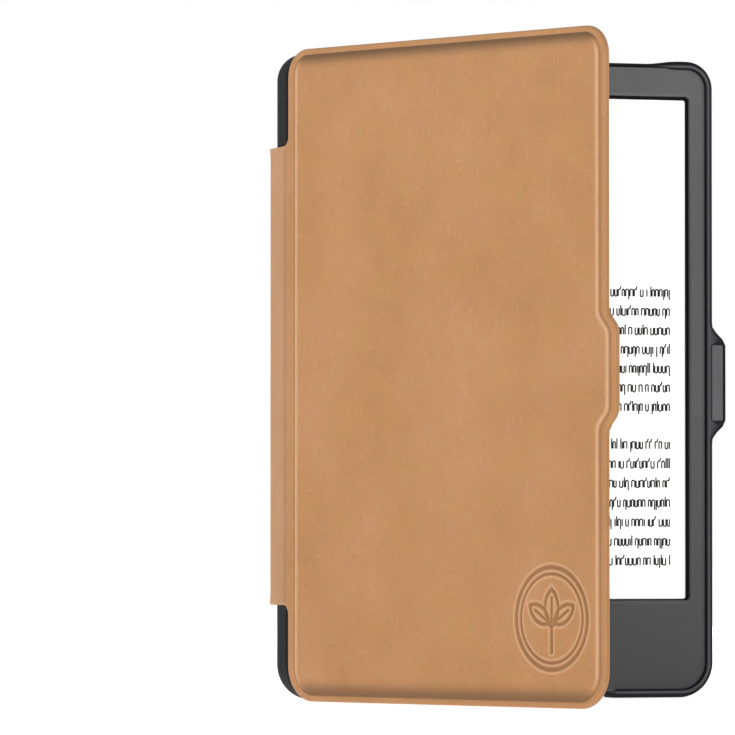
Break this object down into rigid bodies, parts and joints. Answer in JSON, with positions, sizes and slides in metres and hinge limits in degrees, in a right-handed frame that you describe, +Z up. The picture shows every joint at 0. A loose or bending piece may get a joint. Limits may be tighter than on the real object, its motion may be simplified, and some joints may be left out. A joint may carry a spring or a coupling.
{
  "type": "e-reader in a folio case",
  "caption": "Slim e-reader held in a moulded shell with a hinged tan leather folio cover, closure tab and push button on the back, shown upright with its cover ajar.",
  "frame": {"origin": "middle of the whole object's box in plan, with the cover ajar, on the surface it stands on", "axes": "+Z up along the height of the case, +Y towards the back of the case, +X away from the spine"},
  "size_m": [0.12, 0.1246, 0.1635],
  "materials": {
    "leather": "brushed tan imitation leather, matt",
    "lining": "short-pile microfibre",
    "shell_plastic": "fine matt moulded plastic",
    "reader_plastic": "fine-textured matt plastic",
    "black_foam": "matt closed-cell foam",
    "screen_film": "anti-glare film",
    "light_guide": "clear acrylic",
    "display_glass": "electronic-paper laminate",
    "frame_metal": "cast and blasted",
    "battery_foil": "matt pouch foil",
    "board": "solder mask over glass fibre",
    "chip": "moulded epoxy",
    "steel": "plated",
    "flex_film": "polyimide film",
    "stiff_board": "grey board"
  },
  "bodies": {
    "case": {"case_shell": "shell_plastic", "back_leather": "leather", "tab_magnet": "steel", "tab_magnet_cover": "reader_plastic", "front_bezel": "reader_plastic", "rear_housing": "reader_plastic", "screen_gasket": "black_foam", "touch_film": "screen_film", "frontlight_guide": "light_guide", "eink_panel": "display_glass", "led_strip": "light_guide", "display_flex": "flex_film", "touch_flex": "flex_film", "frontlight_flex": "flex_film", "middle_frame": "frame_metal", "battery": "battery_foil", "battery_lead": "flex_film", "battery_connector": "chip", "main_board": "board", "soc_shield": "steel", "memory_chip": "chip", "wifi_module": "steel", "power_chip": "chip", "hall_sensor": "chip", "usb_c_port": "steel", "switch_board": "board", "power_switch": "steel", "switch_flex": "flex_film", "frame_screw_1": "steel", "frame_screw_2": "steel", "frame_screw_3": "steel", "frame_screw_4": "steel", "frame_screw_5": "steel", "frame_screw_6": "steel", "board_screw_1": "steel", "board_screw_2": "steel", "board_screw_3": "steel", "board_screw_4": "steel"},
    "power_button": {"button_cap": "shell_plastic", "power_key": "reader_plastic"},
    "spine": {"spine_leather": "leather", "spine_lining": "lining"},
    "cover": {"cover_leather": "leather", "cover_board": "stiff_board", "cover_lining": "lining", "sleep_magnet": "steel", "closure_magnet": "steel"}
  },
  "joints": [
    {"name": "spine_fold", "type": "hinge", "parent": "case", "child": "spine", "pos_m": [-0.05945, 0.06114, 0.082], "axis": [0, 0, -1], "range_deg": [0, 180]},
    {"name": "cover_fold", "type": "hinge", "parent": "spine", "child": "cover", "pos_m": [-0.05945, 0.04764, 0.082], "axis": [0, 0, -1], "range_deg": [-66.5, 113.5]},
    {"name": "power_press", "type": "slide", "parent": "case", "child": "power_button", "axis": [0, -1, 0], "range_m": [0, 0.00035], "stiffness_N_per_m": 2500}
  ]
}
